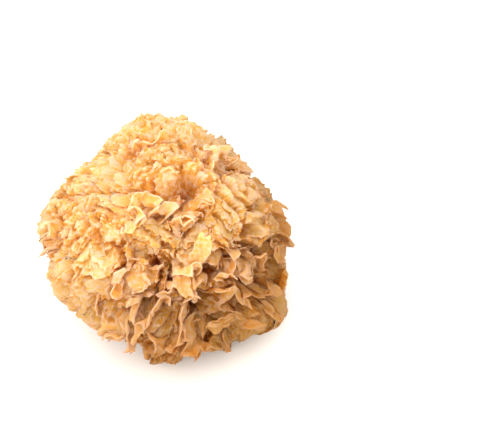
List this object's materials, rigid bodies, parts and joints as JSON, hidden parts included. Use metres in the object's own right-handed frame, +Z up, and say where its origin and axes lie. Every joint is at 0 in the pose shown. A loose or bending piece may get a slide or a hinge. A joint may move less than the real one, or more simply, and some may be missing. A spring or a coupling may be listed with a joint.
{
  "type": "dried snow fungus",
  "caption": "Dried head of snow fungus: thin, ruffled golden fronds fork in every direction from a small tough foot with a flat cut under it.",
  "frame": {"origin": "centre of the flat cut under the foot, which is where the head stands on a surface", "axes": "+Z up, out of the surface through the middle of the head; -Y towards the side that the picture shows; +X to the right in that view"},
  "size_m": [0.1218, 0.1307, 0.0893],
  "materials": {
    "foot": "matte",
    "frond": "matte"
  },
  "bodies": {
    "root": {"base": "foot", "frond_01": "frond", "frond_02": "frond", "frond_03": "frond", "frond_04": "frond", "frond_05": "frond", "frond_06": "frond", "frond_07": "frond", "frond_08": "frond", "frond_09": "frond", "frond_10": "frond", "frond_11": "frond", "frond_12": "frond", "frond_13": "frond", "frond_14": "frond", "frond_15": "frond", "frond_16": "frond", "frond_17": "frond", "frond_18": "frond", "frond_19": "frond", "frond_20": "frond", "frond_21": "frond", "frond_22": "frond", "frond_23": "frond", "frond_24": "frond", "frond_25": "frond", "frond_26": "frond", "frond_27": "frond", "frond_28": "frond", "frond_29": "frond", "frond_30": "frond", "frond_31": "frond", "frond_32": "frond", "frond_33": "frond", "frond_34": "frond", "frond_35": "frond", "frond_36": "frond"}
  },
  "joints": []
}
